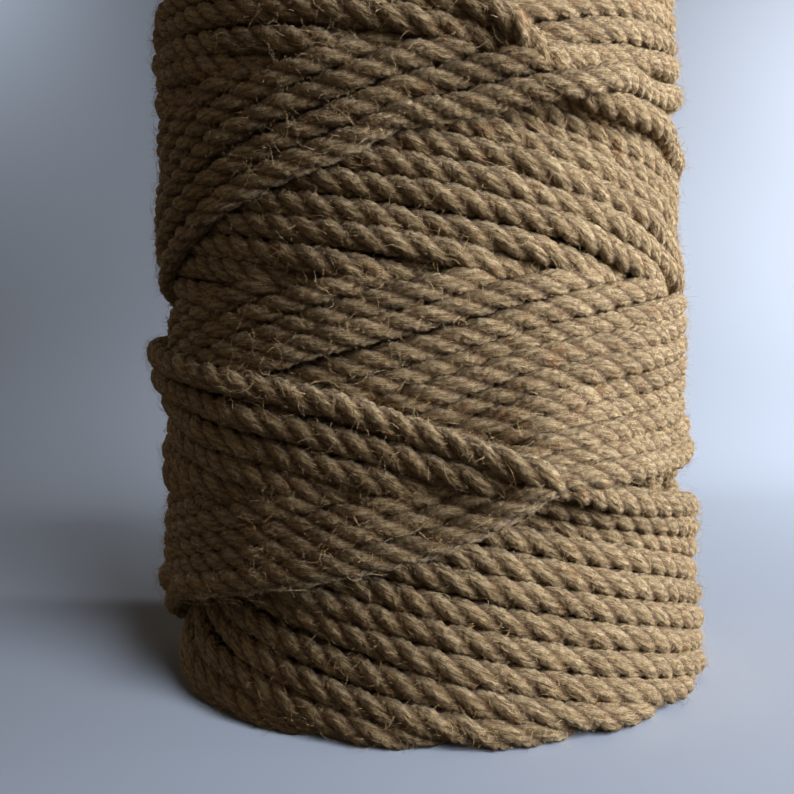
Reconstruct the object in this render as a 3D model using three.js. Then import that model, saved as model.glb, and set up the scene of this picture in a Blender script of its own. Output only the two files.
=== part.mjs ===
// A spool of thick jute rope, wound crosswise on a bare spindle and standing on one end.
// Millimetres, +Z up, origin on the resting plane at the middle of the winding.

import * as THREE from 'three';

const ropeThickness = 6;
const ropeSpacing = 5.95;        // up the winding, from one rope to the next
const ropesPerLayer = 16.5;      // side by side round the winding, in each direction
const turnsPerTraverse = 2;      // turns that the rope makes from one end to the other
const newestRadius = 73;         // to the crest of the rope that was wound last
const layerStep = 2.4;           // by which a new layer stands over the one that it covers
const newestRopeAngle = -120;    // degrees from the front, where the last two ropes cross
const grooveDepth = 2.6;         // between two ropes that lie side by side
const crossingDepth = 1.1;       // added where the two directions meet and dive under
const crossingHoleDepth = 1.6;   // added between the ropes there
const boreRadius = 20;           // left by the spindle
const boreEdge = 2.5;            // rounding at the ends of the bore
const turnBack = 3.4;            // how far short of the end of its slant a rope turns back
const cornerRadius = 7;          // round the ends, where the ropes turn back
const cornerRingHeight = 0.9;
const layerThickness = 12.5;     // of two crossing layers, seen at the ends
const endGrooveWidth = 3;        // between those layers
const endGrooveDepth = 1.4;

const rowsPerRope = 4;
const columns = 2 * ropesPerLayer;
const rowsPerTurn = rowsPerRope * ropesPerLayer;
const rowsPerColumn = rowsPerTurn / columns;
const rowsPerBand = rowsPerTurn / 2;
const rowsPerTraverse = turnsPerTraverse * rowsPerTurn;
const firstRow = 1;              // the first and last rows are cut off where the ropes turn
const lastRow = rowsPerTraverse - firstRow;
const rowHeight = ropeSpacing / rowsPerRope;
const height = rowsPerTraverse * rowHeight - 2 * turnBack + ropeThickness;
const oldestRadius = newestRadius - 2 * layerStep;
const flatRadius = oldestRadius - cornerRadius;

// Rows count downwards from where the ropes' slants would meet at the top. A rope that runs
// down to the right has direction 1 and one that runs up to the right -1, and the rope laid
// last has age 0.
function ageAt(column, row, direction) {
  const rowsPast = direction * row - rowsPerColumn * column;
  const age = THREE.MathUtils.euclideanModulo(rowsPast, rowsPerTurn) / rowsPerRope;
  return age < ropesPerLayer - 0.5 ? age : age - ropesPerLayer;
}

function wholeAge(age) {
  return Math.floor(age + 0.5);
}

// The younger rope is on top, and of two ropes as old as each other, the one running up.
function directionAt(column, row) {
  return wholeAge(ageAt(column, row, 1)) < wholeAge(ageAt(column, row, -1)) ? 1 : -1;
}

// How far a row lies under the rounded corner of its end.
function cornerDrop(z) {
  const fromEnd = Math.min(z, height - z);
  if (fromEnd >= cornerRadius) return 0;
  return cornerRadius - Math.sqrt(cornerRadius ** 2 - (cornerRadius - fromEnd) ** 2);
}

function radiusAt(column, row) {
  const ageDown = ageAt(column, row, 1);
  const ageUp = ageAt(column, row, -1);
  const age = directionAt(column, row) > 0 ? ageDown : ageUp;
  const fromCrest = Math.abs(age - wholeAge(age));
  const ropeRadius = ropeThickness / 2;
  const roundDrop = ropeRadius - Math.sqrt(ropeRadius ** 2 - (fromCrest * ropeSpacing) ** 2);
  let drop = Math.min(roundDrop, grooveDepth);
  if (row % rowsPerBand === 0) {
    drop += crossingDepth + (fromCrest > 0 ? crossingHoleDepth : 0);
  }
  const layerDrop = layerStep * (ageDown + ageUp) / ropesPerLayer;
  return newestRadius - layerDrop - drop;
}

function pointAt(column, radius, z) {
  const turn = THREE.MathUtils.degToRad(newestRopeAngle + 360 * column / columns);
  return [radius * Math.sin(turn), -radius * Math.cos(turn), z];
}

// An end face from the bore outwards: flat lands, one for each pair of layers, with a groove
// between them. Each entry is a radius and how deep it lies under the end plane.
function endProfile() {
  const profile = [[boreRadius, boreEdge], [boreRadius + boreEdge, 0]];
  const lastGroove = flatRadius - endGrooveWidth;
  for (let middle = boreRadius + layerThickness; middle < lastGroove; middle += layerThickness) {
    profile.push([middle - endGrooveWidth / 2, 0], [middle, endGrooveDepth]);
    profile.push([middle + endGrooveWidth / 2, 0]);
  }
  profile.push([flatRadius, 0]);
  return profile;
}

// All rings of points, in order: the bottom face outwards, the wound side upwards, the top
// face inwards and back down the bore.
function makeRings() {
  const rings = [];
  const addRing = (radiusOf, z) => {
    rings.push(Array.from({ length: columns }, (_, column) => pointAt(column, radiusOf(column), z)));
  };
  const side = (row, z) => (column) => radiusAt(column, row) - cornerDrop(z);
  const profile = endProfile();
  for (const [radius, depth] of profile) addRing(() => radius, depth);
  addRing(side(lastRow, cornerRingHeight), cornerRingHeight);
  for (let row = lastRow; row >= firstRow; row -= 1) {
    const z = height / 2 + (rowsPerTraverse / 2 - row) * rowHeight;
    addRing(side(row, z), z);
  }
  const topRing = height - cornerRingHeight;
  addRing(side(firstRow, topRing), topRing);
  for (const [radius, depth] of profile.reverse()) addRing(() => radius, height - depth);
  return rings;
}

// The row on the next column to the right that a row is joined to, along the rope on top.
function rowToTheRight(row, direction, band) {
  const slanted = row + rowsPerColumn * direction;
  const bandTop = Math.max(band * rowsPerBand, firstRow);
  const bandBottom = Math.min((band + 1) * rowsPerBand, lastRow);
  return THREE.MathUtils.clamp(slanted, bandTop, bandBottom);
}

// Joins two neighbouring columns of the wound side, so that the edges follow the ropes.
function joinSide(column, vertexAt, triangles) {
  const left = (row) => vertexAt(column, row);
  const right = (row) => vertexAt(column + 1, row);
  let reached = firstRow;
  const fanTo = (leftRow, rightRow) => {
    for (; reached < rightRow; reached += 1) {
      triangles.push(left(leftRow), right(reached + 1), right(reached));
    }
  };
  for (let row = firstRow; row < lastRow; row += 1) {
    const band = Math.floor(row / rowsPerBand);
    const direction = directionAt(column, row + 0.5);
    fanTo(row, rowToTheRight(row, direction, band));
    triangles.push(left(row), left(row + 1), right(reached));
    fanTo(row + 1, rowToTheRight(row + 1, direction, band));
  }
  fanTo(lastRow, lastRow);
}

function makeWinding() {
  const rings = makeRings();
  const profileLength = endProfile().length;
  const bottomRow = profileLength + 1;
  const topRow = bottomRow + lastRow - firstRow;
  const vertex = (column, ring) => (ring % rings.length) * columns + (column % columns);
  const triangles = [];
  for (let column = 0; column < columns; column += 1) {
    joinSide(column, (place, row) => vertex(place, topRow + firstRow - row), triangles);
    for (let ring = 0; ring < rings.length; ring += 1) {
      if (ring >= bottomRow && ring < topRow) continue;
      const corners = [
        vertex(column, ring), vertex(column + 1, ring),
        vertex(column + 1, ring + 1), vertex(column, ring + 1),
      ];
      triangles.push(corners[0], corners[1], corners[2], corners[0], corners[2], corners[3]);
    }
  }
  const geometry = new THREE.BufferGeometry();
  geometry.setAttribute('position', new THREE.Float32BufferAttribute(rings.flat(2), 3));
  geometry.setIndex(triangles);
  geometry.computeVertexNormals();
  return geometry;
}

const jute = new THREE.MeshStandardMaterial({ color: 0x9c7a50, roughness: 0.95, metalness: 0 });
const winding = new THREE.Mesh(makeWinding(), jute);
winding.name = 'winding';

const spool = new THREE.Group();
spool.add(winding);

export default spool;
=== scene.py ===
import math

import bpy
import numpy as np
from mathutils import Matrix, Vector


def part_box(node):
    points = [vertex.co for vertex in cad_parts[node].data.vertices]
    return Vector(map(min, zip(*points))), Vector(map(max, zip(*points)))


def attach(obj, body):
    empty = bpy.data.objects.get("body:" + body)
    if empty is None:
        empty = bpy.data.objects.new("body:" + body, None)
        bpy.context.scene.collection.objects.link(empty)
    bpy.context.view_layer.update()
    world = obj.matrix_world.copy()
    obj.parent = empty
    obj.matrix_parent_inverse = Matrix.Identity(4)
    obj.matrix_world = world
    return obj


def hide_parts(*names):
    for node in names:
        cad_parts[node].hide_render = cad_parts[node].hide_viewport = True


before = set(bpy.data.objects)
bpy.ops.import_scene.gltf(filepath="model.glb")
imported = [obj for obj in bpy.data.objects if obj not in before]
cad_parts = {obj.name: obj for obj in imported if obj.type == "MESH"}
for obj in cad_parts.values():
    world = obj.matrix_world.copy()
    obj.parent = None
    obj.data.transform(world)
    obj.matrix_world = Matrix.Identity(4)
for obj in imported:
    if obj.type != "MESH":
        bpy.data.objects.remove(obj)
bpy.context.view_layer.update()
lowCorner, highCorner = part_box("winding")
spoolHeight = highCorner.z - lowCorner.z
mm = 0.001


# How the rope was wound, one cycle being a pass down the spool and back up. Metres and degrees.
winding = {
    "ropeThickness": 6 * mm,
    "ropeSpacing": 5.95 * mm,      # up the spool, from one rope to the next one laid
    "ropesPerLayer": 16.5,
    "turnsPerPass": 2,             # from one end of the spool to the other
    "cycles": 80,
    "lastPassAngle": 1134,         # of the cycle that was left unfinished
    "newestTopAngle": -136,        # from the front, where that cycle left the top
    "dwell": 14,                   # how far a rope goes round at an end before it turns back
    "turnRounding": 1.6 * mm,
    "spindleRadius": 20 * mm,
    "sampleStep": 1.5 * mm,
    "flatness": 0.88,              # the rope's thickness over its width, once wound
    "squash": 1.2 * mm,            # how far a rope beds into the ones under it
    "contactReach": 2 * mm,        # the middle of a rope's width, which is what bears on them
    "tension": 70,                 # rounds of tightening
    "wander": 0.35 * mm,
    "wanderLength": 40,            # degrees
    "wanderFrom": 10 * mm,         # from an end, where a rope starts to wander in full
    "lateTurn": 0.25,              # radians at the end of a cycle, laid on the surface after the next
    "cornerRadius": 2 * mm,        # round the ends of the spool
    "endRise": 2 * mm,             # most that a rope stands above its layer near an end
    "endSink": 1.5 * mm,
    "endReach": 12 * mm,
    "finalRadius": 69 * mm,        # to the middle of the outer ropes, on average
    "evening": 0.5,                # how far the pull of the rope has pressed wide bulges level
    "endEvening": 0.75,            # the same for the thicker ends
    "eveningReach": 17 * mm,
    "eveningFrom": 40 * mm,        # the radius where it sets in, and over how much
    "eveningOver": 20 * mm,
    "lean": -2 * mm,               # of the top to the right, while the foot stays
    "seed": 4,
}

# Where the newest ropes leave their even slant in front. "visit" counts how often the rope has
# come round to the front since the top, and the course gives degrees from the front and the
# rise in millimetres. The "spared" newest cycles keep out of it, the next one takes it in full,
# and the older ones follow less and less, each by "follow" of the last.
bends = [
    {"goes": "down", "visit": 1, "spared": 0, "follow": 0.55, "course": [
        (-115, -1.2), (-66, -7.2), (-48, -6.5), (-40, -4.7), (-28, -3.8), (-12, -2.9), (-3, -0.3),
        (5, -1.6), (15, -1.5), (27, -2), (34, -0.6), (41, -0.6), (50, -2.2), (60, -2.8), (73, -2),
        (115, -1)]},
    {"goes": "down", "visit": 2, "spared": 0, "follow": 0.8, "course": [
        (-110, 3), (-66, 9.4), (-32, 8), (0, 8), (9, 10.3), (19, 15), (30, 13), (60, 6), (110, 0)]},
    {"goes": "up", "visit": 1, "spared": 0, "follow": 0.55, "course": [
        (-115, -1), (-74, 3), (-50, 3), (-34, 2.5), (-22, 2.1), (-13, 1.4), (-4, -0.1),
        (3, -1.5), (12, -3.4), (21, -5.6), (31, -6.6), (45, -5.3), (73, -1.2), (110, -1)]},
    {"goes": "up", "visit": 0, "spared": 1, "follow": 0.55, "course": [
        (0, 0), (9, -0.5), (14, -2.2), (18, -6.8), (24, -10.4), (30, -11.6), (40, -10.2),
        (60, -5.5), (90, 0)]},
]

# Where the spool is fuller or slacker than it would wind by itself: the place, in degrees from the
# front and up the spool, how far that reaches, and how far the turns stand out there
bulges = [
    {"angle": -73, "height": 84 * mm, "reach": (38, 11 * mm), "rise": 4.8 * mm},
    {"angle": -73, "height": 31 * mm, "reach": (34, 9 * mm), "rise": -5 * mm},
    {"angle": -73, "height": 13 * mm, "reach": (30, 6 * mm), "rise": 2 * mm},
    {"angle": 22, "height": 0 * mm, "reach": (45, 16 * mm), "rise": 6 * mm},
    {"angle": 73, "height": 38 * mm, "reach": (30, 9 * mm), "rise": 1.8 * mm},
    {"angle": -73, "height": 125 * mm, "reach": (45, 22 * mm), "rise": 0.8 * mm},
    {"angle": 60, "height": 134 * mm, "reach": (22, 6 * mm), "rise": -4 * mm},
    {"angle": 30, "height": 138 * mm, "reach": (14, 8 * mm), "rise": -4 * mm},
    {"angle": 40, "height": 153 * mm, "reach": (30, 9 * mm), "rise": 3.5 * mm},
]

gridColumns = 720                  # of the height field that the rope is laid on
gridCell = 0.6 * mm
columnAngle = 2 * math.pi / gridColumns
gridRows = int(round(spoolHeight / gridCell)) + 1
middleRows = slice(gridRows // 5, -gridRows // 5)    # clear of the ends
ropeRadius = winding["ropeThickness"] / 2
topShift = 2 * math.pi / winding["ropesPerLayer"]
passAngle = 2 * math.pi * winding["turnsPerPass"] - topShift / 2
cycleAngle = 2 * passAngle


def slantHeights(along):
    # The even slant between the two ends, with a short stretch round each end
    slope = winding["ropeSpacing"] / topShift
    local = np.mod(along, cycleAngle)
    fromTop = np.minimum(local, cycleAngle - local)
    rounding = winding["turnRounding"]

    def leave(fromTurn):
        straight = slope * (fromTurn - math.radians(winding["dwell"]) / 2)
        return 0.5 * (straight + np.sqrt(straight ** 2 + rounding ** 2))

    down = spoolHeight - ropeRadius - leave(fromTop)
    up = ropeRadius + leave(passAngle - fromTop)
    return np.where(fromTop < passAngle / 2, down, up)


def bendRise(cycle, start, along):
    # What the bends in front add to the slant
    rise = np.zeros_like(along)
    goingDown = along < passAngle
    degrees = np.degrees(start - along)
    wrapped = (degrees + 180) % 360 - 180
    visitDown = np.floor((180 - degrees) / 360)
    visitUp = np.floor((degrees + 180) / 360) + 2 * winding["turnsPerPass"]
    for bend in bends:
        age = winding["cycles"] - cycle - bend["spared"]
        here = goingDown & (visitDown == bend["visit"])
        if bend["goes"] == "up":
            here = ~goingDown & (visitUp == bend["visit"])
        if age >= 0:
            angles, rises = zip(*bend["course"])
            added = np.interp(wrapped, angles, rises, left=0, right=0) * mm
            rise += np.where(here, added, 0) * bend["follow"] ** age
    return rise


def eased(blend):
    return blend * blend * (3 - 2 * blend)


def smoothNoise(count, knotSpacing, random):
    knots = random.normal(size=int(count / knotSpacing) + 4)
    place = np.arange(count) / knotSpacing
    low = place.astype(int)
    blend = eased(place - low)
    return knots[low] * (1 - blend) + knots[low + 1] * blend


def tighten(support, sag):
    # Pulls the rope straight where nothing holds it up
    radius = support.copy()
    for _ in range(winding["tension"]):
        pulled = 0.5 * (radius[:-2] + radius[2:]) - sag
        radius[1:-1] = np.maximum(pulled, support[1:-1])
    smoothing = np.array([1, 3, 4, 3, 1]) / 12
    return np.convolve(np.pad(radius, 2, mode="edge"), smoothing, mode="valid")


def cellsUnder(angles, heights, radiusNow):
    # The cells of the height field that lie under a rope, and how far it bulges over each
    column, row = angles / columnAngle, heights / gridCell
    column0, row0 = np.floor(column).astype(int), np.floor(row).astype(int)
    reachColumns = int(ropeRadius / (radiusNow * columnAngle)) + 1
    reachRows = int(ropeRadius / gridCell) + 1
    for columnStep in range(-reachColumns, reachColumns + 2):
        across = (column0 + columnStep - column) * columnAngle * radiusNow
        for rowStep in range(-reachRows, reachRows + 2):
            up = (row0 + rowStep - row) * gridCell
            squared = across ** 2 + up ** 2
            inside = (squared < ropeRadius ** 2) & (row0 + rowStep >= 0) & (row0 + rowStep < gridRows)
            if inside.any():
                rise = winding["flatness"] * np.sqrt(np.maximum(ropeRadius ** 2 - squared, 0))
                columns = np.mod(column0 + columnStep, gridColumns)
                rows = np.clip(row0 + rowStep, 0, gridRows - 1)
                yield columns, rows, rise, inside, squared


def cornerDrop(fromEnd):
    corner = winding["cornerRadius"]
    depth = np.clip(corner - fromEnd, 0, corner)
    return corner - np.sqrt(corner ** 2 - depth ** 2)


def windRope():
    # Lays the rope cycle by cycle on the growing spool. Returns its path and the outer surface
    random = np.random.default_rng(winding["seed"])
    surface = np.full((gridColumns, gridRows), winding["spindleRadius"])
    radiusNow = winding["spindleRadius"] + ropeRadius
    endRadius = radiusNow
    waiting = []
    parts = []
    for cycle in range(winding["cycles"] + 1):
        start = math.radians(winding["newestTopAngle"]) - (winding["cycles"] - cycle) * topShift
        whole = cycleAngle if cycle < winding["cycles"] else math.radians(winding["lastPassAngle"])
        count = int(whole * radiusNow / winding["sampleStep"])
        along = np.linspace(0, whole, count)
        heights = slantHeights(along)
        wander = winding["wander"] * smoothNoise(
            count, count / whole * math.radians(winding["wanderLength"]), random)
        fromEnd = np.minimum(heights, spoolHeight - heights)
        loose = np.clip((fromEnd - ropeRadius) / winding["wanderFrom"], 0, 1)
        heights = heights + (wander + bendRise(cycle, start, along)) * loose
        angles = start - along

        cells = list(cellsUnder(angles, heights, radiusNow))
        support = np.full(count, winding["spindleRadius"] + ropeRadius)
        for columns, rows, rise, inside, squared in cells:
            near = inside & (squared < winding["contactReach"] ** 2)
            lift = surface[columns, rows] + rise - winding["squash"]
            support = np.where(near, np.maximum(support, lift), support)
        drop = cornerDrop(fromEnd)
        free = np.maximum(fromEnd - ropeRadius - winding["endReach"], 0)
        support = np.minimum(support, radiusNow + winding["endRise"] - drop + free)
        support = np.maximum(support, radiusNow - winding["endSink"] - drop)
        support[0] = endRadius
        radius = tighten(support, winding["sampleStep"] ** 2 / (2 * radiusNow))
        radius[0] = endRadius

        # The last stretch is laid late, so that the next cycle doesn't climb onto it
        for columns, rows, height in waiting:
            surface[columns, rows] = np.maximum(surface[columns, rows], height)
        waiting = []
        early = along < whole - winding["lateTurn"]
        for columns, rows, rise, inside, _ in cells:
            now, later = inside & early, inside & ~early
            surface[columns[now], rows[now]] = np.maximum(
                surface[columns[now], rows[now]], (radius + rise)[now])
            waiting.append((columns[later], rows[later], (radius + rise)[later]))
        parts.append((angles, heights, radius, np.full(count, cycle)))
        radiusNow = float(np.median(radius))
        endRadius = radius[-1]
    for columns, rows, height in waiting:
        surface[columns, rows] = np.maximum(surface[columns, rows], height)
    return evened(joinCycles(parts), surface)


def joinCycles(parts):
    # One path from the first cycle to the last, with the angle running on without a jump
    turned = 0
    angles = []
    for part in parts:
        angles.append(part[0] - part[0][0] + turned)
        turned += part[0][-1] - part[0][0]
    angles = [a + parts[0][0][0] for a in angles]
    keep = [slice(0, -1)] * (len(parts) - 1) + [slice(None)]
    path = {"angle": np.concatenate([a[k] for a, k in zip(angles, keep)])}
    for place, name in enumerate(("height", "radius", "cycle"), 1):
        path[name] = np.concatenate([part[place][k] for part, k in zip(parts, keep)])
    middle = 0.5 * (path["radius"][1:] + path["radius"][:-1])
    steps = np.sqrt((middle * np.diff(path["angle"])) ** 2 + np.diff(path["height"]) ** 2
                    + np.diff(path["radius"]) ** 2)
    path["length"] = np.concatenate([[0], np.cumsum(steps)])
    return path


def blurred(field, reachColumns, reachRows, passes=3):
    # Smooth round the spool and along it, by repeated running means
    for _ in range(passes):
        total = np.cumsum(np.concatenate([field[-reachColumns:], field, field[:reachColumns]]), axis=0)
        total = np.concatenate([np.zeros((1, total.shape[1])), total])
        width = 2 * reachColumns + 1
        field = (total[width:] - total[:-width]) / width
        padded = np.pad(field, ((0, 0), (reachRows, reachRows)), mode="edge")
        total = np.concatenate([np.zeros((len(padded), 1)), np.cumsum(padded, axis=1)], axis=1)
        width = 2 * reachRows + 1
        field = (total[:, width:] - total[:, :-width]) / width
    return field


def evened(path, surface):
    # Takes part of the wide bulges off the outer turns and sets them at their real radius
    reach, edge = winding["eveningReach"], int(ropeRadius / gridCell)
    inner = np.pad(surface[:, edge:-edge], ((0, 0), (edge, edge)), mode="edge")
    wide = blurred(inner, int(reach / (winding["finalRadius"] * columnAngle)), int(reach / gridCell))
    level = wide.mean(axis=0, keepdims=True)
    middle = float(np.median(surface[:, middleRows]))
    wanted = winding["finalRadius"] + winding["flatness"] * ropeRadius
    shift = wanted - middle - winding["evening"] * (wide - level)
    shift = shift - winding["endEvening"] * (level - middle)
    angles = np.arange(gridColumns)[:, None] * columnAngle
    heights = np.arange(gridRows)[None, :] * gridCell
    shift = shift + winding["lean"] * heights / spoolHeight * np.sin(angles)
    for bulge in bulges:
        aside = (np.degrees(angles) - bulge["angle"] + 180) % 360 - 180
        away = (aside / bulge["reach"][0]) ** 2 + ((heights - bulge["height"]) / bulge["reach"][1]) ** 2
        shift = shift + bulge["rise"] * np.exp(-away)
    depth = np.clip((path["radius"] - winding["eveningFrom"]) / winding["eveningOver"], 0, 1)
    path["radius"] = path["radius"] + depth * surfaceAt(shift, path["angle"], path["height"])
    return path, surface + shift


def surfaceAt(surface, angles, heights):
    columns = np.mod(np.round(angles / columnAngle).astype(int), gridColumns)
    rows = np.clip(np.round(heights / gridCell).astype(int), 0, gridRows - 1)
    return surface[columns, rows]


path, surface = windRope()
print("rope laid:", round(path["length"][-1], 1), "m, radius to the outer ropes' crests:",
      round(float(np.median(surface[:, middleRows])) / mm, 1), "mm")


# The rope itself: three strands, laid round each other
rope = {
    "strands": 3,
    "strandOffset": 1.1 * mm,      # from the rope's middle to a strand's middle
    "strandRadius": 2.08 * mm,
    "widened": 1.06,               # across the rope, where its neighbours press it
    "lay": 17.8 * mm,              # in which a strand goes once round
    "unevenThickness": 0.03,
    "unevenStrands": 0.07,
    "unevenLength": 9 * mm,
    "showWidth": 0.85,             # of its half width, how far across it is looked at
    "showSlack": 1.2 * mm,         # how far under the surface a rope still counts as showing
    "showMore": 4.5 * mm,          # and how far it is carried on past where it shows
    "endDepth": 8 * mm,            # at the ends every rope this near shows
    "boreCycles": 21,              # the oldest ones, which can line the bore
    "heading": 0.5 * mm,           # how far ahead and behind the rope's direction is read
    "seed": 11,
}
# Where a strand's points lie across its lobe, in degrees, and the step from ring to ring
detail = {
    "outer": {"across": (-60, -30, 0, 30), "step": 1.8 * mm},
    "end": {"across": (-60, -20, 20), "step": 2.2 * mm},
    "bore": {"across": (-60, 0), "step": 4 * mm},
}


def showing(path, surface):
    # Which of the rope's samples can be seen from outside, at the ends and in the bore
    seen = np.zeros(len(path["angle"]), bool)
    for across in np.linspace(-rope["showWidth"], rope["showWidth"], 5) * ropeRadius:
        crest = path["radius"] + winding["flatness"] * math.sqrt(ropeRadius ** 2 - across ** 2)
        over = surfaceAt(surface, path["angle"], path["height"] + across)
        seen |= crest > over - rope["showSlack"]
    carried = int(rope["showMore"] / winding["sampleStep"])
    seen = np.convolve(seen, np.ones(2 * carried + 1), mode="same") > 0
    fromEnd = np.minimum(path["height"], spoolHeight - path["height"])
    atEnd = ~seen & (fromEnd < rope["endDepth"])
    inBore = ~seen & ~atEnd & (path["cycle"] < rope["boreCycles"])
    return {"outer": seen, "end": atEnd, "bore": inBore}


def runsOf(mask):
    # First and last sample of each unbroken stretch, one sample over so that stretches meet
    edges = np.flatnonzero(np.diff(np.concatenate([[0], mask.astype(int), [0]])))
    last = len(mask) - 1
    return [(max(a - 1, 0), min(b, last)) for a, b in zip(edges[::2], edges[1::2]) if b - a > 1]


# The stretches of rope to be made, as lengths along the rope
stretches = {}
for name, mask in showing(path, surface).items():
    stretches[name] = [(path["length"][a], path["length"][b]) for a, b in runsOf(mask)]
    print(name, "stretches:", len(stretches[name]), "with",
          round(sum(b - a for a, b in stretches[name]), 1), "m")


sineHash = {"place": 12.9898, "seed": 78.233, "spread": 43758.5453, "apart": 1000}


def unevenness(length, wavelength, index):
    # A smooth random value in about -1 to 1 along the rope, the same for the same place
    place = length / wavelength + sineHash["apart"] * index
    low = np.floor(place)
    blend = eased(place - low)

    def knot(n):
        wave = np.sin(n * sineHash["place"] + rope["seed"] * sineHash["seed"]) * sineHash["spread"]
        return 2 * (wave - np.floor(wave)) - 1

    return knot(low) * (1 - blend) + knot(low + 1) * blend


def unit(vectors):
    return vectors / np.linalg.norm(vectors, axis=-1, keepdims=True)


def onSpool(radius, angle, height):
    return np.stack([radius * np.sin(angle), -radius * np.cos(angle), height], -1)


def placeAt(length):
    # Middle of the rope there, and the way straight out of the spool
    angle = np.interp(length, path["length"], path["angle"])
    height = np.interp(length, path["length"], path["height"])
    radius = np.interp(length, path["length"], path["radius"])
    return onSpool(radius, angle, height), onSpool(1, angle, np.zeros_like(angle))


def axesAt(length, behind):
    # Middle of the rope there, its direction, the way out of the spool and the way across
    middle, outward = placeAt(length)
    along = unit(placeAt(length + rope["heading"])[0] - placeAt(length - behind)[0])
    normal = unit(outward - along * np.sum(outward * along, 1, keepdims=True))
    return middle, along, normal, np.cross(along, normal)


def ropeRings(start, end, kind):
    # The rings of points round one stretch of rope, and each ring's length along the rope
    step = detail[kind]["step"]
    length = np.arange(math.floor(start / step), math.ceil(end / step) + 1) * step
    length = np.unique(np.clip(length, 0, path["length"][-1]))
    middle, _, normal, across = axesAt(length, rope["heading"])
    scale = 1 + rope["unevenThickness"] * unevenness(length, 2 * rope["unevenLength"], 0)
    offset = rope["strandOffset"] * scale
    points = []
    for strand in range(rope["strands"]):
        bulk = 1 + rope["unevenStrands"] * unevenness(length, rope["unevenLength"], strand + 1)
        strandRadius = rope["strandRadius"] * scale * bulk
        for part in detail[kind]["across"]:
            lobe = math.radians(part)
            reach = offset * math.cos(lobe) + np.sqrt(
                np.maximum(strandRadius ** 2 - (offset * math.sin(lobe)) ** 2, 0))
            turn = 2 * math.pi * (strand / rope["strands"] + length / rope["lay"]) + lobe
            points.append(middle + (winding["flatness"] * reach * np.cos(turn))[:, None] * normal
                          + (rope["widened"] * reach * np.sin(turn))[:, None] * across)
    rings = np.stack(points, 1)
    rings[..., 2] = np.maximum(rings[..., 2], 0)    # the lowest turn rests flat
    return rings, length


def meshFrom(name, points, faces, maps, material):
    # A piece of the spool. faces is a list of index arrays, each with its own number of corners
    mesh = bpy.data.meshes.new(name)
    corners = np.concatenate([f.ravel() for f in faces])
    counts = np.concatenate([np.full(len(f), f.shape[1]) for f in faces])
    mesh.vertices.add(len(points))
    mesh.vertices.foreach_set("co", np.ascontiguousarray(points, np.float32).ravel())
    mesh.loops.add(len(corners))
    mesh.loops.foreach_set("vertex_index", corners.astype(np.int32))
    mesh.polygons.add(len(counts))
    firstCorners = np.concatenate([[0], np.cumsum(counts)[:-1]])
    mesh.polygons.foreach_set("loop_start", firstCorners.astype(np.int32))
    mesh.polygons.foreach_set("use_smooth", np.ones(len(counts), bool))
    mesh.update(calc_edges=True)
    for mapName, values in maps.items():
        layer = mesh.uv_layers.new(name=mapName)
        layer.uv.foreach_set("vector", np.ascontiguousarray(values, np.float32).ravel())
    piece = bpy.data.objects.new(name, mesh)
    bpy.context.scene.collection.objects.link(piece)
    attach(piece, "root")
    mesh.materials.append(material)
    print(name, sum(len(f) * (f.shape[1] - 2) for f in faces), "triangles")
    return piece


def ropePiece(name, runs, kind, material):
    # All these stretches of rope as closed tubes in one mesh, with a map for the fibres and a
    # map that lays the stretches out in rows for baking
    sides = rope["strands"] * len(detail[kind]["across"])
    points, quads, caps, fibreMap, capMap = [], [], [], [], []
    used = 0
    for start, end in runs:
        rings, length = ropeRings(start, end, kind)
        count = len(length)
        index = used + np.arange(count * sides).reshape(count, sides)
        after = np.roll(index, -1, axis=1)
        quads.append(np.stack([index[:-1], after[:-1], after[1:], index[1:]], -1).reshape(-1, 4))
        caps.append(np.stack([index[0][::-1], index[-1]]))
        shift = 0.1 * len(points) % 1    # so that stretches side by side have other fibres
        local = (length - length[0] + shift)[:, None]
        around = np.arange(sides + 1)[None, :] / sides
        low = np.broadcast_to(around[:, :-1], (count - 1, sides))
        high = np.broadcast_to(around[:, 1:], (count - 1, sides))
        here = np.broadcast_to(local[:-1], low.shape)
        there = np.broadcast_to(local[1:], low.shape)
        fibreMap.append(np.stack([here, low, here, high, there, high, there, low], -1).reshape(-1, 2))
        ends = np.stack([np.stack([np.full(sides, x), np.arange(sides) / sides], 1)
                         for x in (local[0, 0], local[-1, 0])])
        capMap.append(ends.reshape(-1, 2))
        points.append(rings.reshape(-1, 3))
        used += count * sides
    quads, caps = np.concatenate(quads), np.concatenate(caps)
    cells, capCells = len(quads) // sides, len(caps)
    perRow = int(math.sqrt((cells + capCells) * (sides + 1))) + 1
    rows = math.ceil((cells + capCells) / perRow)

    def placed(cell, right, up):
        return np.stack([(cell % perRow + right) / perRow,
                         (cell // perRow * (sides + 1) + 0.5 + up) / (rows * (sides + 1))], -1)

    ring, side = np.divmod(np.arange(len(quads)), sides)
    corners = ((0, 0), (0, 1), (1, 1), (1, 0))
    bake = np.stack([placed(ring, right, side + up) for right, up in corners], 1)
    turn = 2 * math.pi * np.arange(sides) / sides
    capCell = (cells + np.arange(capCells))[:, None]
    capHalf = {"right": 0.4, "up": 0.45}    # of its cell
    capBake = placed(capCell, 0.5 + capHalf["right"] * np.cos(turn),
                     sides * (0.5 + capHalf["up"] * np.sin(turn)))
    maps = {
        "alongRope": np.concatenate([np.concatenate(fibreMap), np.concatenate(capMap)]),
        "OFBake": np.concatenate([bake.reshape(-1, 2), capBake.reshape(-1, 2)]),
    }
    return meshFrom(name, np.concatenate(points), [quads, caps], maps, material)


def newNode(tree, kind, inputs=None, **settings):
    node = tree.nodes.new(kind)
    for name, value in settings.items():
        setattr(node, name, value)
    for name, value in (inputs or {}).items():
        if isinstance(value, bpy.types.NodeSocket):
            tree.links.new(value, node.inputs[name])
        else:
            node.inputs[name].default_value = value
    return node


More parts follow.
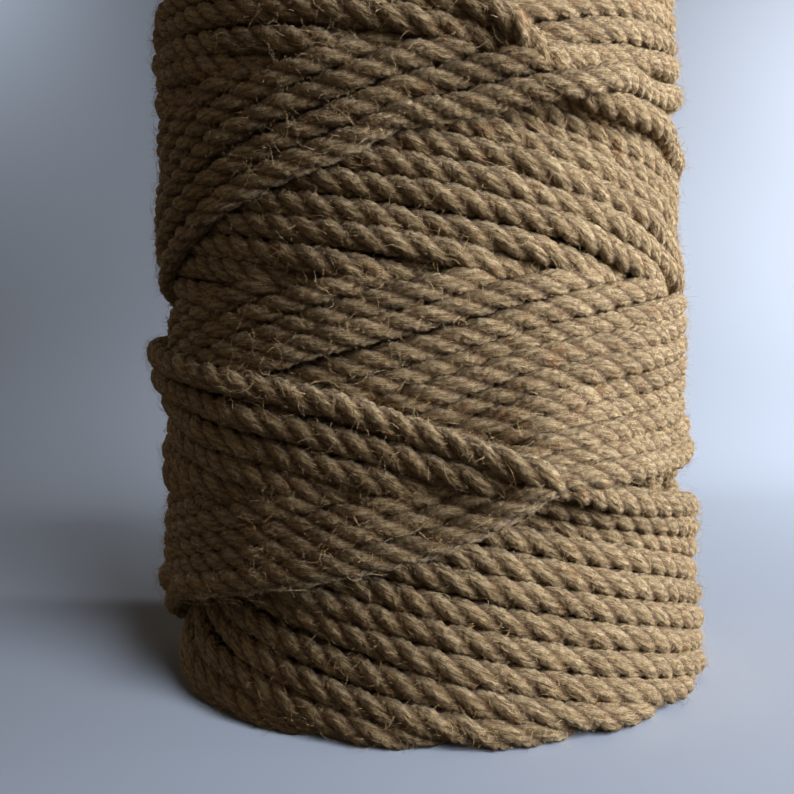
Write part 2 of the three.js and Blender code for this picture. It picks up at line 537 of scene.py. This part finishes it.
def calc(tree, operation, first, second=0.0, third=0.0):
    node = newNode(tree, "ShaderNodeMath", {0: first, 1: second, 2: third}, operation=operation)
    return node.outputs[0]


def remap(tree, value, fromLow, fromHigh, toLow=0.0, toHigh=1.0, smooth=False):
    node = newNode(tree, "ShaderNodeMapRange",
                   {"Value": value, "From Min": fromLow, "From Max": fromHigh, "To Min": toLow,
                    "To Max": toHigh},
                   interpolation_type="SMOOTHSTEP" if smooth else "LINEAR")
    return node.outputs["Result"]


def newGroup(name, inputs, outputs):
    tree = bpy.data.node_groups.new(name, "ShaderNodeTree")
    for socketName, value in inputs.items():
        socket = tree.interface.new_socket(name=socketName, in_out="INPUT",
                                           socket_type="NodeSocketFloat")
        socket.default_value = value
    for socketName, kind in outputs.items():
        tree.interface.new_socket(name=socketName, in_out="OUTPUT", socket_type="NodeSocket" + kind)
    return tree, newNode(tree, "NodeGroupInput").outputs, newNode(tree, "NodeGroupOutput").inputs


def noise(tree, place, settings):
    return newNode(tree, "ShaderNodeTexNoise", {"Vector": place, **settings}).outputs["Fac"]


def weighted(tree, start, effects, weights):
    # Adds the effects to the start, each by its weight
    total = start
    for name, weight in weights.items():
        total = calc(tree, "MULTIPLY_ADD", effects[name], weight, total)
    return total


fibres = {
    "streaks": {"Scale": 0.5, "Detail": 3.0, "Roughness": 0.65, "Distortion": 0.7},
    "streakRange": (0.30, 0.70),       # of the noise, from the darkest streak to the palest
    "fine": {"Scale": 1.1, "Detail": 2.0, "Roughness": 0.7, "Distortion": 1.4},
    "fineRange": (0.28, 0.72),
}


# Fibres as streaks that run nearly straight along the rope, across the slant of its strands.
# Along is in metres and Around goes once round the rope, turning with the strands.
def makeFibreGroup():
    tree, given, made = newGroup(
        "juteFibres",
        {"Along": 0.0, "Around": 0.0, "Fibres": 80.0, "Length": 0.0026, "Slant": 42.0},
        {"Streaks": "Float", "Fine": "Float"})
    slanted = calc(tree, "MULTIPLY_ADD", given["Along"], given["Slant"], given["Around"])
    wide = calc(tree, "MULTIPLY", slanted, given["Fibres"])
    long = calc(tree, "DIVIDE", given["Along"], given["Length"])
    place = newNode(tree, "ShaderNodeCombineXYZ", {"X": long, "Y": wide}).outputs[0]
    streaks = noise(tree, place, fibres["streaks"])
    fine = noise(tree, place, fibres["fine"])
    tree.links.new(remap(tree, streaks, *fibres["streakRange"]), made["Streaks"])
    tree.links.new(remap(tree, fine, *fibres["fineRange"]), made["Fine"])
    return tree


yarns = {
    "noise": {"Scale": 1.0, "Detail": 1.0},
    "noiseAlong": 0.45,                # to a yarn
    "noiseAcross": 1.3,                # to a strand
    "noiseApart": 9.1,                 # from one strand to the next
    "wanderReach": 4.0,
    "ridge": (0.0, 0.9),               # from a yarn's edge, 0, to its middle, 1
    "groove": (0.0, 0.55),
}


# The yarns of a strand, as low ridges. Pitch is from one to the next, in metres along the rope.
def makeYarnGroup():
    tree, given, made = newGroup(
        "juteYarns",
        {"Along": 0.0, "Around": 0.0, "Pitch": 0.0020, "Slant": 3.2, "Wander": 0.45},
        {"Ridge": "Float", "GrooveShade": "Float", "Facet": "Float"})
    strands = calc(tree, "MULTIPLY", given["Around"], rope["strands"])
    within = calc(tree, "FRACT", strands)
    strand = calc(tree, "FLOOR", strands)
    long = calc(tree, "DIVIDE", given["Along"], given["Pitch"])
    place = newNode(tree, "ShaderNodeCombineXYZ",
                    {"X": calc(tree, "MULTIPLY", long, yarns["noiseAlong"]),
                     "Y": calc(tree, "MULTIPLY", within, yarns["noiseAcross"]),
                     "Z": calc(tree, "MULTIPLY", strand, yarns["noiseApart"])})
    wandering = noise(tree, place.outputs[0], yarns["noise"])
    phase = calc(tree, "MULTIPLY_ADD", within, given["Slant"], long)
    phase = calc(tree, "MULTIPLY_ADD", wandering,
                 calc(tree, "MULTIPLY", given["Wander"], yarns["wanderReach"]), phase)
    fromEdge = calc(tree, "MULTIPLY", calc(tree, "PINGPONG", phase, 0.5), 2.0)
    # In colour, Ridge lightens the middles of the yarns and the groove output darkens their edges:
    # painted shade between the yarns. Ridge also gives their relief.
    tree.links.new(remap(tree, fromEdge, *yarns["ridge"], smooth=True), made["Ridge"])
    tree.links.new(remap(tree, fromEdge, *yarns["groove"], 1.0, 0.0, smooth=True), made["GrooveShade"])
    each = newNode(tree, "ShaderNodeCombineXYZ", {"X": calc(tree, "FLOOR", phase), "Y": strand})
    facet = newNode(tree, "ShaderNodeTexWhiteNoise", {"Vector": each.outputs[0]})
    tree.links.new(facet.outputs["Value"], made["Facet"])
    return tree


# Curly hairs that lie on the rope, where a noise passes through its middle value
def makeHairGroup():
    tree, given, made = newGroup("juteHairs", {"Scale": 260.0, "Width": 0.012, "Shift": 0.0},
                                 {"Hairs": "Float"})
    place = newNode(tree, "ShaderNodeTexCoord").outputs["Object"]
    shift = newNode(tree, "ShaderNodeCombineXYZ", {"X": given["Shift"], "Y": given["Shift"]})
    moved = newNode(tree, "ShaderNodeVectorMath", {0: place, 1: shift.outputs[0]}, operation="ADD")
    curls = noise(tree, moved.outputs[0],
                  {"Scale": given["Scale"], "Detail": 1.5, "Roughness": 0.6, "Distortion": 0.8})
    fromLine = calc(tree, "ABSOLUTE", calc(tree, "SUBTRACT", curls, 0.5))
    tree.links.new(remap(tree, fromLine, 0.0, given["Width"], 1.0, 0.0, smooth=True), made["Hairs"])
    return tree


juteColours = {
    "dark": (0.105, 0.056, 0.020),
    "middle": (0.37, 0.243, 0.112),
    "pale": (0.70, 0.535, 0.310),
    "stain": (0.82, 0.52, 0.27),       # multiplies the others, as the next does
    # painted shade, multiplied in towards the grooves between strands and yarns and over the turns
    # inside
    "groove": (0.48, 0.38, 0.28),
}


# Jute from dark brown to pale straw by Tone. Stain turns it orange brown, and Shade darkens it by the
# groove colour as painted shade.
def makeColourGroup():
    tree, given, made = newGroup("juteColour", {"Tone": 0.5, "Stain": 0.0, "Shade": 0.0},
                                 {"Color": "Color"})
    ramp = newNode(tree, "ShaderNodeValToRGB", {"Fac": given["Tone"]})
    stops = ramp.color_ramp.elements
    stops[0].color = (*juteColours["dark"], 1)
    stops[1].color = (*juteColours["pale"], 1)
    stops.new(0.5).color = (*juteColours["middle"], 1)
    colour = ramp.outputs["Color"]
    for factor, name in (("Stain", "stain"), ("Shade", "groove")):
        tinted = newNode(tree, "ShaderNodeMix",
                         {"Factor": given[factor], 6: colour, 7: (*juteColours[name], 1)},
                         data_type="RGBA", blend_type="MULTIPLY")
        colour = tinted.outputs[2]
    tree.links.new(colour, made["Color"])
    return tree


fibreGroup = makeFibreGroup()
yarnGroup = makeYarnGroup()
hairGroup = makeHairGroup()
colourGroup = makeColourGroup()


def newMaterial(name, roughness, sheen=0.0):
    material = bpy.data.materials.new(name)
    material.use_nodes = True
    shader = material.node_tree.nodes["Principled BSDF"]
    finish = {"Roughness": roughness, "Specular IOR Level": 0.2, "Sheen Weight": sheen,
              "Sheen Roughness": 0.6}
    for socketName, value in finish.items():
        shader.inputs[socketName].default_value = value
    return material, material.node_tree, shader


def objectNoise(tree, settings):
    return noise(tree, newNode(tree, "ShaderNodeTexCoord").outputs["Object"], settings)


ropeLook = {
    "roughness": 0.9,
    "sheen": 0.15,
    "groove": (0.0, 0.17),             # from the edge of a strand, in strand widths
    "crest": (0.04, 0.34),
    "yarnShade": 0.28,
    "strandNoise": {"Scale": 1.0, "Detail": 2.0},
    "strandAlong": 55.0,               # steps of that noise in a metre of rope
    "strandApart": 7.3,
    "patches": {"Scale": 130.0, "Detail": 2.0},
    "mottle": {"Scale": 1100.0, "Detail": 2.0, "Roughness": 0.7, "Distortion": 0.6},
    "stains": {"Scale": 210.0, "Detail": 3.0},
    "stainRange": (0.58, 0.74),
    "stainMost": 0.6,
    "hairs": ({"Scale": 300.0, "Width": 0.014}, {"Scale": 520.0, "Width": 0.02}),
    "secondHairs": 0.7,
    "darkestTone": -1.12,              # to which each effect adds its share
    # crest and ridge lighten the middles of strands and yarns against their edges: painted shade in the
    # grooves
    "tone": {"streaks": 0.36, "facet": 0.12, "ridge": 0.18, "crest": 0.16, "mottle": 0.75,
             "fine": 0.85, "strand": 0.45, "patches": 0.25, "hair": 0.32},
    "relief": {"fine": 0.5, "ridge": 1.6, "hair": 0.4, "mottle": 1.2},    # beside the streaks at 1
    "reliefDepth": 0.28 * mm,
}


def makeRopeMaterial():
    material, tree, shader = newMaterial("juteRope", ropeLook["roughness"], ropeLook["sheen"])
    place = newNode(tree, "ShaderNodeUVMap", uv_map="alongRope")
    parts = newNode(tree, "ShaderNodeSeparateXYZ", {"Vector": place.outputs[0]})
    ropePlace = {"Along": parts.outputs["X"], "Around": parts.outputs["Y"]}
    fibre = newNode(tree, "ShaderNodeGroup", ropePlace, node_tree=fibreGroup).outputs
    yarn = newNode(tree, "ShaderNodeGroup", ropePlace, node_tree=yarnGroup).outputs
    strands = calc(tree, "MULTIPLY", ropePlace["Around"], rope["strands"])
    strand = calc(tree, "FLOOR", strands)
    fromEdge = calc(tree, "PINGPONG", strands, 0.5)
    # Painted shade: the colour darkens towards the grooves between strands and between yarns
    groove = remap(tree, fromEdge, *ropeLook["groove"], 1.0, 0.0, smooth=True)
    shade = calc(tree, "MAXIMUM", groove, calc(tree, "MULTIPLY", yarn["GrooveShade"], ropeLook["yarnShade"]))
    byStrand = newNode(tree, "ShaderNodeCombineXYZ",
                       {"X": calc(tree, "MULTIPLY", ropePlace["Along"], ropeLook["strandAlong"]),
                        "Y": calc(tree, "MULTIPLY", strand, ropeLook["strandApart"])})
    hairs = []
    for kind in ropeLook["hairs"]:
        hairs.append(newNode(tree, "ShaderNodeGroup", {**kind, "Shift": kind["Scale"]},
                             node_tree=hairGroup).outputs["Hairs"])
    fainter = calc(tree, "MULTIPLY", hairs[1], ropeLook["secondHairs"])
    effects = {
        "streaks": fibre["Streaks"],
        "fine": fibre["Fine"],
        "ridge": yarn["Ridge"],
        "facet": yarn["Facet"],
        "crest": remap(tree, fromEdge, *ropeLook["crest"], smooth=True),
        "strand": noise(tree, byStrand.outputs[0], ropeLook["strandNoise"]),
        "patches": objectNoise(tree, ropeLook["patches"]),
        "mottle": objectNoise(tree, ropeLook["mottle"]),
        "hair": calc(tree, "MAXIMUM", hairs[0], fainter),
    }
    stains = objectNoise(tree, ropeLook["stains"])
    stain = remap(tree, stains, *ropeLook["stainRange"], 0.0, ropeLook["stainMost"], smooth=True)
    tone = weighted(tree, ropeLook["darkestTone"], effects, ropeLook["tone"])
    colour = newNode(tree, "ShaderNodeGroup", {"Tone": tone, "Stain": stain, "Shade": shade},
                     node_tree=colourGroup)
    tree.links.new(colour.outputs["Color"], shader.inputs["Base Color"])
    height = weighted(tree, effects["streaks"], effects, ropeLook["relief"])
    bump = newNode(tree, "ShaderNodeBump",
                   {"Strength": 1.0, "Distance": ropeLook["reliefDepth"], "Height": height})
    tree.links.new(bump.outputs["Normal"], shader.inputs["Normal"])
    return material


fuzzLook = {
    "roughness": 0.75,
    "darkest": 0.6,
    "toneRange": 0.6,
    "stainRange": (0.75, 0.95),        # of the random value, so that few fibres are orange brown
}


def makeFuzzMaterial():
    material, tree, shader = newMaterial("juteFuzz", fuzzLook["roughness"])
    place = newNode(tree, "ShaderNodeUVMap", uv_map="fibreTone")
    parts = newNode(tree, "ShaderNodeSeparateXYZ", {"Vector": place.outputs[0]}).outputs
    tone = calc(tree, "MULTIPLY_ADD", parts["X"], fuzzLook["toneRange"], fuzzLook["darkest"])
    stain = remap(tree, parts["Y"], *fuzzLook["stainRange"])
    colour = newNode(tree, "ShaderNodeGroup", {"Tone": tone, "Stain": stain}, node_tree=colourGroup)
    tree.links.new(colour.outputs["Color"], shader.inputs["Base Color"])
    return material


# The turns deep inside get the darker half of the tones and the whole groove colour: painted shade, as
# they lie in the shadow of the outer turns.
insideLook = {"roughness": 0.95, "noise": {"Scale": 400.0, "Detail": 3.0}, "tone": 0.5, "shade": 1.0}


def makeInsideMaterial():
    material, tree, shader = newMaterial("juteInsidePaintedShade", insideLook["roughness"])
    tone = calc(tree, "MULTIPLY", objectNoise(tree, insideLook["noise"]), insideLook["tone"])
    colour = newNode(tree, "ShaderNodeGroup", {"Tone": tone, "Shade": insideLook["shade"]},
                     node_tree=colourGroup)
    tree.links.new(colour.outputs["Color"], shader.inputs["Base Color"])
    return material


ropeMaterial = makeRopeMaterial()
fuzzMaterial = makeFuzzMaterial()
insideMaterial = makeInsideMaterial()
print("materials made")


def share(runs, parts):
    # Splits the stretches into parts of about the same length, in order
    total = sum(b - a for a, b in runs)
    shares, reached = [[] for _ in range(parts)], 0
    for a, b in runs:
        shares[min(int(reached / total * parts), parts - 1)].append((a, b))
        reached += b - a
    return shares


for number, runs in enumerate(share(stretches["outer"], 3), 1):
    ropePiece(f"outerTurns_{number}", runs, "outer", ropeMaterial)
ropePiece("endTurns", stretches["end"], "end", ropeMaterial)
ropePiece("boreTurns", stretches["bore"], "bore", ropeMaterial)
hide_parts("winding")


# What closes the view between the turns, well under them
innerTurns = {
    "columns": 90,
    "rowStep": 3 * mm,
    "boreRowStep": 8,              # times that
    "below": 4 * mm,
    "leastWall": 2 * mm,
    "endInset": 6 * mm,
    "boreInset": 6.5 * mm,
    "lowReach": (4, 5),            # columns and rows over which the lowest surface counts
}


def within(field, pick, reach, axis):
    # The lowest or highest value within some cells to either side
    found = field
    for shift in range(-reach, reach + 1):
        found = pick(found, np.roll(field, shift, axis=axis))
    return found


def makeInnerTurns():
    lowest = surface
    for axis, reach in enumerate(innerTurns["lowReach"]):
        lowest = within(lowest, np.minimum, reach, axis)
    inset, columns = innerTurns["endInset"], innerTurns["columns"]
    heights = np.linspace(inset, spoolHeight - inset,
                          int((spoolHeight - 2 * inset) / innerTurns["rowStep"]) + 1)
    angles = np.arange(columns) * 2 * math.pi / columns
    bore = winding["spindleRadius"] + innerTurns["boreInset"]
    rings = []
    for height in heights:
        level = np.full(columns, height)
        radii = surfaceAt(lowest, angles, level) - innerTurns["below"]
        rings.append(onSpool(np.maximum(radii, bore + innerTurns["leastWall"]), angles, level))
    for height in heights[::-innerTurns["boreRowStep"]]:
        rings.append(onSpool(bore, angles, np.full(columns, height)))
    index = np.arange(len(rings) * columns).reshape(len(rings), columns)
    after, up = np.roll(index, -1, axis=1), np.roll(index, -1, axis=0)
    quads = np.stack([index, after, np.roll(up, -1, axis=1), up], -1).reshape(-1, 4)
    meshFrom("innerTurns", np.concatenate(rings), [quads], {}, insideMaterial)


makeInnerTurns()


# Loose fibres that stand out of the rope
fuzz = {
    "thickness": 0.095 * mm,
    "taper": 0.75,                 # of that is gone at the tip
    "aboveFloor": 0.15 * mm,
    "rootRadius": 0.82,            # times the rope's
    "rootTurn": 80,                # degrees round the rope, to either side of the way out
    "scatter": 0.8,                # along and across the rope, beside how upright it stands
    "curl": 0.5,
    "waver": 0.15,
    "lengthPower": 1.8,            # the higher, the more of them are short
    "seed": 21,
}
shortKinds = [
    {"name": "needleFuzz", "on": "outer", "count": 40000, "length": (0.8 * mm, 2.4 * mm),
     "points": 2, "upright": (0.1, 1.2)},
    {"name": "shortFuzz", "on": "outer", "count": 19500, "length": (1.5 * mm, 5 * mm),
     "points": 3, "upright": (0.1, 0.9)},
    {"name": "endFuzz", "on": "end", "count": 2600, "length": (1.5 * mm, 5 * mm),
     "points": 3, "upright": (0.1, 0.7)},
]
# Where a fibre's faces lie in its own cell of the map for baking
fibreCell = {
    "left": 0.1,
    "width": 0.8,
    "low": 0.1,
    "height": 0.7,
    "tip": ((0.1, 0.82), (0.32, 0.82), (0.2, 0.95)),
    "tipStep": 0.26,
    "foot": ((0.1, 0.01), (0.9, 0.01), (0.5, 0.08)),
}


def fibreTubes(name, lines, tones):
    # Each line of points becomes a thin closed tube with three sides that tapers to its tip
    count, steps = lines.shape[:2]
    sides = 3
    lines[..., 2] = np.maximum(lines[..., 2], fuzz["aboveFloor"])
    forward = unit(np.gradient(lines, axis=1))
    aside = unit(np.cross(forward, np.array([0.31, 0.17, 0.93])))    # any way that no fibre takes
    over = np.cross(forward, aside)
    radius = fuzz["thickness"] / 2 * (1 - fuzz["taper"] * np.arange(steps - 1) / (steps - 1))
    turn = 2 * math.pi * np.arange(sides) / sides
    body = (lines[:, :-1, None] + radius[None, :, None, None]
            * (np.cos(turn)[None, None, :, None] * aside[:, :-1, None]
               + np.sin(turn)[None, None, :, None] * over[:, :-1, None]))
    perFibre = sides * (steps - 1) + 1
    points = np.concatenate([body.reshape(count, -1, 3), lines[:, -1:, :]], 1).reshape(-1, 3)

    base = (np.arange(count) * perFibre)[:, None, None]
    here = sides * np.arange(steps - 2)[:, None] + np.arange(sides)[None, :]
    beside = sides * np.arange(steps - 2)[:, None] + np.roll(np.arange(sides), -1)[None, :]
    quads = np.stack([here, beside, beside + sides, here + sides], -1).reshape(-1, 4)
    last = sides * (steps - 2)
    tip = last + sides
    tips = np.array([[last, last + 1, tip], [last + 1, last + 2, tip], [last + 2, last, tip], [0, 2, 1]])
    faces = [(base + quads[None]).reshape(-1, 4), (base + tips[None]).reshape(-1, 3)]

    perRow = math.ceil(math.sqrt(count))
    cell = np.arange(count)
    corner = (np.stack([cell % perRow, cell // perRow], 1) / perRow)[:, None, None]
    ring, side = np.divmod(np.arange(len(quads)), sides)
    low = fibreCell["low"] + fibreCell["height"] * ring / (steps - 1)
    high = fibreCell["low"] + fibreCell["height"] * (ring + 1) / (steps - 1)
    left = fibreCell["left"] + fibreCell["width"] * side / sides
    right = fibreCell["left"] + fibreCell["width"] * (side + 1) / sides
    around = ((left, low), (right, low), (right, high), (left, high))
    quadMap = np.stack([np.stack(place, 1) for place in around], 1)
    tipMap = np.array([[(x + fibreCell["tipStep"] * k, y) for x, y in fibreCell["tip"]]
                       for k in range(sides)] + [fibreCell["foot"]])
    maps = {
        "fibreTone": np.concatenate([np.repeat(tones, corners.size, axis=0)
                                     for corners in (quads, tips)]),
        "OFBake": np.concatenate([(corner + cellMap[None] / perRow).reshape(-1, 2)
                                  for cellMap in (quadMap, tipMap)]),
    }
    meshFrom(name, points, faces, maps, fuzzMaterial)


def rootsOn(runs, count, random, atEnds=False):
    # Random places on the side of the rope that faces out of the spool, or out of its ends
    lengths = np.array([b - a for a, b in runs])
    chosen = random.choice(len(runs), count, p=lengths / lengths.sum())
    starts = np.array([a for a, _ in runs])[chosen]
    length = starts + random.random(count) * lengths[chosen]
    middle, along, normal, across = axesAt(length, 0)
    turn = random.uniform(-fuzz["rootTurn"], fuzz["rootTurn"], count)
    if atEnds:
        turn += np.where(middle[:, 2] > spoolHeight / 2, 90, -90)
    turn = np.radians(turn)[:, None]
    out = np.cos(turn) * normal + np.sin(turn) * across
    return middle + fuzz["rootRadius"] * ropeRadius * out, out, along


def randomLengths(limits, power, count, random):
    low, high = limits
    return low + (high - low) * random.random(count) ** power


def grow(root, heading, length, steps, random):
    # A line of points from each root, in arcs that bend a little at random
    axis = unit(random.normal(size=root.shape))
    bend = random.normal(0, fuzz["curl"], (len(root), 1))
    lines = [root]
    for _ in range(steps - 1):
        lines.append(lines[-1] + heading * (length / (steps - 1))[:, None])
        waver = random.normal(0, fuzz["waver"], root.shape)
        heading = unit(heading + bend * np.cross(axis, heading) + waver)
    return np.stack(lines, 1)


def standing(out, along, upright, random):
    # Directions that lean out of the rope by "upright", and any way along it
    count = len(out)
    outward = out * random.uniform(*upright, (count, 1))
    onward = along * random.normal(0, fuzz["scatter"], (count, 1))
    aside = np.cross(along, out) * random.normal(0, fuzz["scatter"], (count, 1))
    return unit(outward + onward + aside)


def makeShortFuzz(kind, seed):
    random = np.random.default_rng(seed)
    count = kind["count"]
    root, out, along = rootsOn(stretches[kind["on"]], count, random, kind["on"] == "end")
    length = randomLengths(kind["length"], fuzz["lengthPower"], count, random)
    heading = standing(out, along, kind["upright"], random)
    lines = grow(root, heading, length, kind["points"], random)
    fibreTubes(kind["name"], lines, random.random((count, 2)))


# Long fibres that lie curled along the spool, a little way off it
longFuzz = {
    "count": 4900,
    "length": (3.5 * mm, 13 * mm),
    "lengthPower": 2.2,
    "points": 8,
    "curl": 0.55,                  # radians from point to point
    "waver": 0.22,
    "lift": 0.9 * mm,
    "liftRange": (0.2, 1.8),
    "clear": 0.1 * mm,             # of the ropes, at least
    "clearReach": 2,               # cells to either side in which a rope counts
    "settle": 0.55,                # how fast it takes up its place over the ropes
    "paler": ((0.8, 1), (0.2, 0)),
}


def makeLongFuzz(seed):
    random = np.random.default_rng(seed)
    count, steps = longFuzz["count"], longFuzz["points"]
    root, _, _ = rootsOn(stretches["outer"], count, random)
    length = randomLengths(longFuzz["length"], longFuzz["lengthPower"], count, random)
    reach = longFuzz["clearReach"]
    top = np.maximum(within(surface, np.maximum, reach, 0), within(surface, np.maximum, reach, 1))
    angle = np.arctan2(root[:, 0], -root[:, 1])
    radius = np.hypot(root[:, 0], root[:, 1])
    height = root[:, 2]
    heading = random.uniform(0, 2 * math.pi, count)
    curl = random.normal(0, longFuzz["curl"], count)
    lift = longFuzz["lift"] * random.uniform(*longFuzz["liftRange"], count)
    lines = [root]
    part = length / (steps - 1)
    for step in range(1, steps):
        angle = angle + part * np.cos(heading) / radius
        height = height + part * np.sin(heading)
        heading = heading + curl + random.normal(0, longFuzz["waver"], count)
        over = lift * math.sin(math.pi * step / steps)
        wanted = surfaceAt(top, angle, height) + over + longFuzz["clear"]
        radius = radius + longFuzz["settle"] * (wanted - radius)
        lines.append(onSpool(radius, angle, height))
    scale, shift = longFuzz["paler"]
    fibreTubes("longFuzz", np.stack(lines, 1), random.random((count, 2)) * scale + shift)


for number, kind in enumerate(shortKinds):
    makeShortFuzz(kind, fuzz["seed"] + number)
makeLongFuzz(fuzz["seed"] + len(shortKinds))


# The stage: a floor that curves up into a wall behind the spool
sweep = {
    "front": -0.7,
    "bend": 0.4,
    "bendRadius": 1.0,
    "bendSteps": 24,
    "top": 2.2,
    "halfWidth": 2.4,
    "colour": (0.60, 0.64, 0.71),
    "roughness": 0.9,
}


def makeBackdrop():
    profile = [(sweep["front"], 0.0)]
    for step in range(sweep["bendSteps"] + 1):
        turn = math.pi / 2 * step / sweep["bendSteps"]
        profile.append((sweep["bend"] + sweep["bendRadius"] * math.sin(turn),
                        sweep["bendRadius"] * (1 - math.cos(turn))))
    profile.append((sweep["bend"] + sweep["bendRadius"], sweep["top"]))
    points = [(x, y, z) for y, z in profile for x in (-sweep["halfWidth"], sweep["halfWidth"])]
    faces = [(2 * n, 2 * n + 1, 2 * n + 3, 2 * n + 2) for n in range(len(profile) - 1)]
    mesh = bpy.data.meshes.new("backdrop")
    mesh.from_pydata(points, [], faces)
    mesh.shade_smooth()
    piece = bpy.data.objects.new("backdrop", mesh)
    bpy.context.scene.collection.objects.link(piece)
    material, _, shader = newMaterial("palePaper", sweep["roughness"])
    shader.inputs["Base Color"].default_value = (*sweep["colour"], 1)
    mesh.materials.append(material)
    piece.visible_diffuse = False    # its blue would fill the shade of the spool
    return piece


# Each light is kept to the spool or to the paper that it stands on
lights = [
    {"name": "windowLight", "on": "spool", "place": (0.83, -0.23, 0.31), "target": (0, 0, 0.22),
     "size": 0.85, "power": 7.8, "colour": (0.94, 0.97, 1.0), "spread": 80},
    {"name": "fillLight", "on": "spool", "place": (-0.45, -0.75, 0.45), "target": (0, 0, 0.12),
     "size": 0.90, "power": 0.60, "colour": (1.0, 0.80, 0.60), "spread": 180},
    {"name": "backLight", "on": "spool", "place": (-0.35, 0.75, 0.40), "target": (0, 0, 0.11),
     "size": 0.80, "power": 3.0, "colour": (1.0, 0.95, 0.88), "spread": 180},
    {"name": "paperLight", "on": "paper", "place": (0.50, -0.72, 0.42), "target": (0.34, 0.02, 0),
     "size": 0.55, "power": 4.3, "colour": (0.84, 0.92, 1.06), "spread": 90},
    {"name": "sweepLight", "on": "paper", "place": (1.05, 0.0, 0.55), "target": (0.42, 0.58, 0.02),
     "size": 0.30, "power": 3.2, "colour": (0.88, 0.94, 1.03), "spread": 78},
    {"name": "wallLight", "on": "paper", "place": (1.25, -0.60, 0.60), "target": (1.05, 1.4, 0.45),
     "size": 0.50, "power": 9.0, "colour": (0.90, 0.945, 1.02), "spread": 60},
    {"name": "cornerLight", "on": "paper", "place": (-1.15, 0.85, 1.45), "target": (-0.90, 1.4, 1.0),
     "size": 0.30, "power": 1.2, "colour": (0.84, 0.93, 1.05), "spread": 80},
]


def areaLight(settings, lit):
    light = bpy.data.lights.new(settings["name"], "AREA")
    light.shape = "DISK"
    light.size = settings["size"]
    light.energy = settings["power"]
    light.color = settings["colour"]
    light.spread = math.radians(settings["spread"])
    holder = bpy.data.objects.new(settings["name"], light)
    bpy.context.scene.collection.objects.link(holder)
    aim = np.array(settings["target"]) - np.array(settings["place"])
    holder.location = settings["place"]
    pitch = math.acos(-aim[2] / np.linalg.norm(aim))
    holder.rotation_euler = (pitch, 0, math.atan2(aim[0], -aim[1]) + math.pi)
    holder.visible_camera = False
    holder.light_linking.receiver_collection = lit


lit = {name: bpy.data.collections.new(name + "Lit") for name in ("spool", "paper")}
for piece in [thing for thing in bpy.context.scene.collection.objects if thing.type == "MESH"]:
    lit["spool"].objects.link(piece)
lit["paper"].objects.link(makeBackdrop())
for settings in lights:
    areaLight(settings, lit[settings["on"]])
print("stage and", len(lights), "lights set")

studio = {"colour": (1.0, 0.86, 0.68), "strength": 0.042}
world = bpy.data.worlds.new("studio")
bpy.context.scene.world = world
world.use_nodes = True
surround = world.node_tree.nodes["Background"]
surround.inputs["Color"].default_value = (*studio["colour"], 1)
surround.inputs["Strength"].default_value = studio["strength"]
bpy.context.scene.view_settings.view_transform = "Standard"

# Fitted to the rows of rope and the lower rim, in metres, degrees and millimetres of lens
view = {"place": (0, -0.2565, 0.0693), "yaw": 1.965, "pitch": 1.175, "roll": -1.374, "lens": 40.32,
        "sensor": 36, "nearest": 0.01}
cameraData = bpy.data.cameras.new("camera")
cameraData.lens = view["lens"]
cameraData.sensor_width = view["sensor"]
cameraData.clip_start = view["nearest"]
camera = bpy.data.objects.new("camera", cameraData)
bpy.context.scene.collection.objects.link(camera)
camera.matrix_world = (
    Matrix.Translation(view["place"])
    @ Matrix.Rotation(math.radians(view["yaw"]), 4, "Z")
    @ Matrix.Rotation(math.radians(90 + view["pitch"]), 4, "X")
    @ Matrix.Rotation(math.radians(view["roll"]), 4, "Z"))
bpy.context.scene.camera = camera

bpy.context.view_layer.update()
